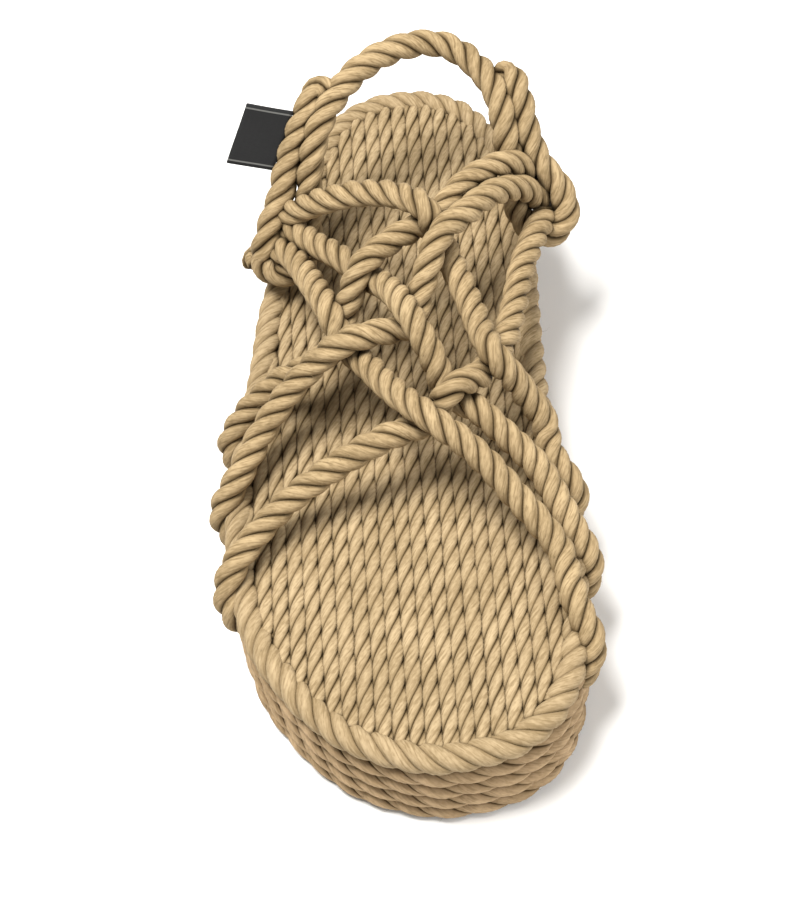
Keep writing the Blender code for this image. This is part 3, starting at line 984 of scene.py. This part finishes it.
def tag_profile(near, reach):
    """Section of the ribbon from one sewn end round the fold to the other: distance out, and height."""
    straight = reach - TAG_FOLD
    upper = [(near + straight * k / TAG_COLUMNS, TAG_FOLD) for k in range(TAG_COLUMNS + 1)]
    fold = []
    for k in range(1, TAG_FOLD_STEPS):
        turn = math.pi * k / TAG_FOLD_STEPS
        fold.append((near + straight + TAG_FOLD * math.sin(turn), TAG_FOLD * math.cos(turn)))
    return upper + fold + [(out, -lift) for out, lift in reversed(upper)]


def tag_piece(surface):
    """Ribbon folded in half, its two ends sewn to the heel rope and its fold standing out."""
    spot, outward, run, face = tag_frame()
    near = HEEL_ROPE_D * TAG_SEAM
    reach = TAG_REACH + HEEL_ROPE_D / 2 - near
    profile = tag_profile(near, reach)
    points = []
    for j in range(TAG_ROWS + 1):
        share = j / TAG_ROWS - 0.5
        for out, lift in profile:
            sway = TAG_SWAY * math.sin(share * TAG_SWAY_ALONG + out * TAG_SWAY_OUTWARD) * (out - near) / reach
            points.append(spot + outward * out + run * share * TAG_LENGTH + face * (lift + sway))
    columns = len(profile)
    reached = distances(np.array([(out, lift, 0) for out, lift in profile]))
    faces = []
    corners = []
    for j in range(TAG_ROWS):
        low = TAG_LENGTH * j / TAG_ROWS
        high = TAG_LENGTH * (j + 1) / TAG_ROWS
        for i in range(columns - 1):
            first = j * columns + i
            faces.append([first, first + 1, first + columns + 1, first + columns])
            corners += [(reached[i], low), (reached[i + 1], low), (reached[i + 1], high), (reached[i], high)]
    mesh = bpy.data.meshes.new("tag_ribbon")
    mesh.from_pydata(points, [], faces)
    mesh.uv_layers.new(name="ribbon").data.foreach_set("uv", np.array(corners).ravel())
    mesh.shade_smooth()
    mesh.materials.append(surface)
    ribbon = dress("tag_ribbon", mesh, "tag_cloth", "woven_tag")
    thicken = ribbon.modifiers.new("cloth thickness", "SOLIDIFY")
    thicken.thickness = TAG_THICKNESS
    thicken.offset = 0
    return ribbon


def aim(thing, target, up):
    """Turn a camera or light towards a point, with a direction that stays upright in its view."""
    back = (thing.location - target).normalized()
    right = up.cross(back).normalized()
    turn = Matrix((right, back.cross(right), back)).transposed()
    thing.matrix_world = Matrix.Translation(thing.location) @ turn.to_4x4()


def photo_camera():
    """The photograph's camera, turned about its own place to bring the one shoe to the middle."""
    data = bpy.data.cameras.new("camera")
    data.lens = CAMERA_LENS
    data.sensor_width = SENSOR_WIDTH
    camera = bpy.data.objects.new("camera", data)
    bpy.context.scene.collection.objects.link(camera)
    camera.location = CAMERA_SPOT
    heading = Vector((math.sin(CAMERA_HEADING), math.cos(CAMERA_HEADING), 0))
    up = heading * math.sin(CAMERA_DIP) + Vector((0, 0, math.cos(CAMERA_DIP)))
    aim(camera, CAMERA_AIM, up)
    bpy.context.scene.camera = camera


def soft_light(name, spot, size, power, colour):
    """A round area light that points at the sandal."""
    data = bpy.data.lights.new(name, "AREA")
    data.shape = "DISK"
    data.size = size
    data.energy = power
    data.color = colour
    light = bpy.data.objects.new(name, data)
    bpy.context.scene.collection.objects.link(light)
    light.location = spot
    aim(light, LIGHT_AIM, Vector((0, 1, 0.001)))


def floor_piece():
    """Pale floor under the sandal."""
    corners = [(x * FLOOR_HALF, y * FLOOR_HALF, 0) for x, y in ((-1, -1), (1, -1), (1, 1), (-1, 1))]
    mesh = bpy.data.meshes.new("floor")
    mesh.from_pydata(corners, [], [[0, 1, 2, 3]])
    mesh.materials.append(floor_surface())
    floor = bpy.data.objects.new("floor", mesh)
    bpy.context.scene.collection.objects.link(floor)


def studio():
    """Pale surroundings, a broad light over the outer side and a weak one from the inner side's front."""
    world = bpy.data.worlds.new("studio")
    world.use_nodes = True
    backdrop = world.node_tree.nodes["Background"]
    backdrop.inputs["Color"].default_value = (*SKY_COLOUR, 1.0)
    backdrop.inputs["Strength"].default_value = SKY_STRENGTH
    bpy.context.scene.world = world
    soft_light("key", *KEY_LIGHT)
    soft_light("fill", *FILL_LIGHT)
    floor_piece()
    bpy.context.scene.view_settings.view_transform = "Standard"


def build():
    footbed_rope = rope_surface("footbed_rope", FOOTBED_COLOURS)
    # The lower courses' rope is painted paler, as light on their sides
    side_rope = rope_surface("side_rope", SIDE_COLOURS_PAINTED_LIGHTER)
    # The straps' rope is painted a little darker, as shade
    strap_rope = rope_surface("strap_rope", STRAP_COLOURS_PAINTED_DARKER, STRAP_CREASE_SHADE_FADE)
    filling_piece(packed_shade_surface())
    for number in range(1, COURSE_COUNT + 1):
        course_piece(number, footbed_rope if number == COURSE_COUNT else side_rope)
    footbed_piece(footbed_rope)
    underside_piece(side_rope)
    vamp_pieces(strap_rope)
    heel_piece(strap_rope)
    tag_piece(tag_surface())

    studio()
    photo_camera()


build()
